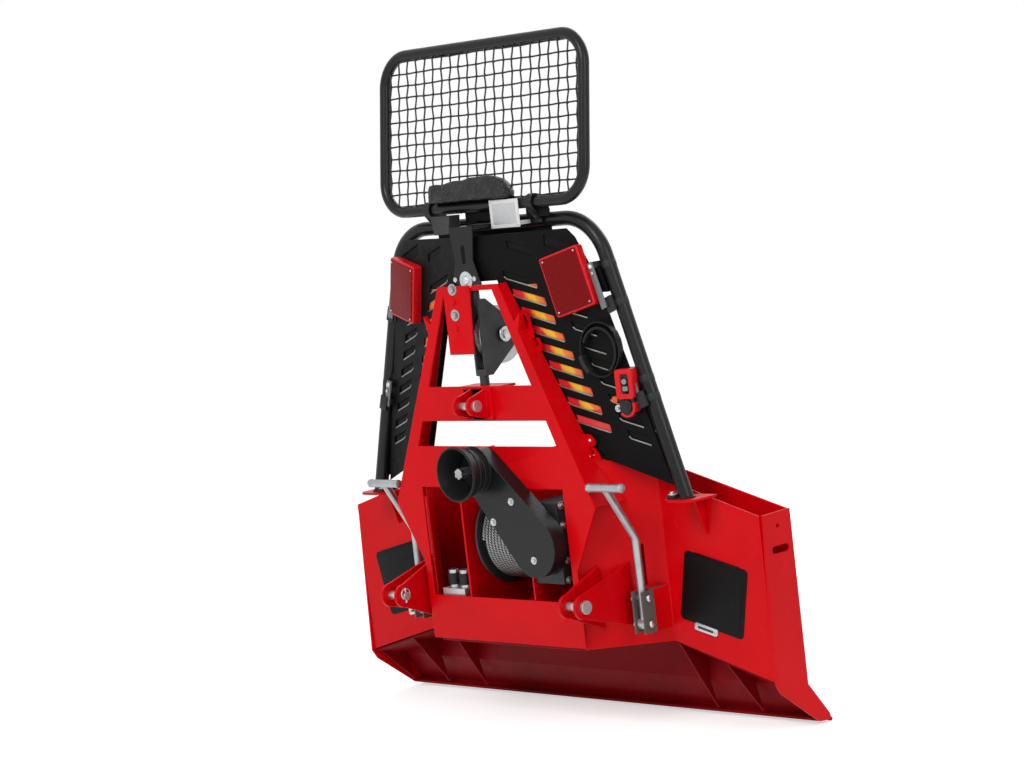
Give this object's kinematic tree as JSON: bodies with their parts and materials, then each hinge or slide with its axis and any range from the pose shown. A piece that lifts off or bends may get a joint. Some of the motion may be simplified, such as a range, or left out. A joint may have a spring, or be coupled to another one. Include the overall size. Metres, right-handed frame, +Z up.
{
  "type": "tractor forestry winch",
  "caption": "Three-point tractor winch for pulling logs: folded rear blade, tower with swivel pulley, tubular guard hoop, tilting mesh guard, rope drum, parking legs.",
  "frame": {"origin": "middle of the line through the two lower hitch pins", "axes": "+X to the tractor's left, +Y rearward from the tractor, +Z up"},
  "size_m": [1.86, 0.6271, 2.1639],
  "materials": {
    "red": "gloss",
    "dark_red": "satin",
    "black": "satin",
    "plastic": "textured",
    "rubber": "matte",
    "galvanised": "galvanised",
    "steel": "satin",
    "rope": "stranded",
    "cast_iron": "matte",
    "white": "satin",
    "lens": "gloss",
    "button": "gloss"
  },
  "bodies": {
    "frame": {"rear_blade": "red", "left_end_plate": "red", "right_end_plate": "red", "left_front_panel": "red", "right_front_panel": "red", "left_pocket_floor": "dark_red", "right_pocket_floor": "dark_red", "base_plate": "dark_red", "hitch_beam": "red", "left_hitch_bracket": "red", "right_hitch_bracket": "red", "left_hitch_pin": "steel", "right_hitch_pin": "steel", "mast_frame": "red", "guard_hoop": "black", "left_hoop_bracket": "red", "right_hoop_bracket": "red", "hoop_stay": "black", "left_shield": "plastic", "right_shield": "plastic", "left_side_lamp": "lens", "right_side_lamp": "lens", "work_lamp": "cast_iron", "left_guard_hinge": "steel", "right_guard_hinge": "steel", "label_plate": "white", "mast_cover": "red", "top_link_bracket": "red", "top_link_pin": "steel", "left_drum_plate": "red", "right_drum_plate": "red", "brake_band": "cast_iron", "gearbox_case": "cast_iron", "drive_chain": "steel", "chain_guard": "black", "pto_guard": "plastic", "valve_block": "galvanised", "lower_pulley_bracket": "red", "left_leg_bracket": "galvanised", "right_leg_bracket": "galvanised", "hand_controller": "plastic", "controller_strap": "rubber"},
    "pto": {"pto_shaft": "steel"},
    "pinion": {"pinion_shaft": "steel"},
    "shaft": {"drum_shaft": "steel", "crown_wheel": "steel"},
    "drum": {"drum": "cast_iron", "rope_winding": "rope"},
    "head": {"pulley_head": "cast_iron"},
    "upper_sheave": {"upper_pulley": "steel"},
    "lower_sheave": {"lower_pulley": "steel"},
    "mesh_guard": {"mesh_guard_frame": "black", "mesh_guard_net": "cast_iron", "guard_pad": "rubber"},
    "left_leg": {"left_parking_leg": "galvanised"},
    "right_leg": {"right_parking_leg": "galvanised"},
    "left_lid": {"left_storage_lid": "plastic"},
    "right_lid": {"right_storage_lid": "plastic"},
    "pull_key": {"pull_button": "button"},
    "release_key": {"release_button": "button"}
  },
  "joints": [
    {"name": "pto_turn", "type": "hinge", "parent": "frame", "child": "pto", "pos_m": [0, 0.062, 0.408], "axis": [0, 1, 0], "continuous": true},
    {"name": "pinion_turn", "type": "hinge", "parent": "frame", "child": "pinion", "pos_m": [0.2245, 0.11, 0.17], "axis": [0, 1, 0], "continuous": true},
    {"name": "shaft_turn", "type": "hinge", "parent": "frame", "child": "shaft", "pos_m": [0, 0.246, 0.17], "axis": [1, 0, 0], "continuous": true},
    {"name": "drum_turn", "type": "hinge", "parent": "frame", "child": "drum", "pos_m": [0, 0.246, 0.17], "axis": [1, 0, 0], "continuous": true},
    {"name": "pulley_swivel", "type": "hinge", "parent": "frame", "child": "head", "pos_m": [0, 0.114, 0.815], "axis": [0, 0, 1], "range_deg": [-60, 60]},
    {"name": "upper_pulley_turn", "type": "hinge", "parent": "head", "child": "upper_sheave", "pos_m": [0, 0.195, 0.815], "axis": [1, 0, 0], "continuous": true},
    {"name": "lower_pulley_turn", "type": "hinge", "parent": "frame", "child": "lower_sheave", "pos_m": [0, 0.514, -0.162], "axis": [1, 0, 0], "continuous": true},
    {"name": "mesh_guard_fold", "type": "hinge", "parent": "frame", "child": "mesh_guard", "pos_m": [0, 0.185, 1.22], "axis": [-1, 0, 0], "range_deg": [0, 80]},
    {"name": "left_leg_fold", "type": "hinge", "parent": "frame", "child": "left_leg", "pos_m": [0.51, 0.19, -0.085], "axis": [1, 0, 0], "range_deg": [0, 124]},
    {"name": "right_leg_fold", "type": "hinge", "parent": "frame", "child": "right_leg", "pos_m": [-0.51, 0.19, -0.085], "axis": [1, 0, 0], "range_deg": [0, 124]},
    {"name": "left_lid_open", "type": "hinge", "parent": "frame", "child": "left_lid", "pos_m": [0.73154, 0.2927, 0.09823], "axis": [-0.9748, 0, 0.2231], "range_deg": [0, 90]},
    {"name": "right_lid_open", "type": "hinge", "parent": "frame", "child": "right_lid", "pos_m": [-0.73154, 0.2927, 0.09823], "axis": [-0.9748, 0, -0.2231], "range_deg": [0, 90]},
    {"name": "pull_press", "type": "slide", "parent": "frame", "child": "pull_key", "axis": [-0.1999, 0.9798, 0], "range_m": [0, 0.0025], "stiffness_N_per_m": 400},
    {"name": "release_press", "type": "slide", "parent": "frame", "child": "release_key", "axis": [-0.1999, 0.9798, 0], "range_m": [0, 0.0025], "stiffness_N_per_m": 400}
  ],
  "couplings": [
    {"joint": "pinion_turn", "follows": "pto_turn", "ratio": 0.56522},
    {"joint": "shaft_turn", "follows": "pto_turn", "ratio": -0.18841}
  ]
}
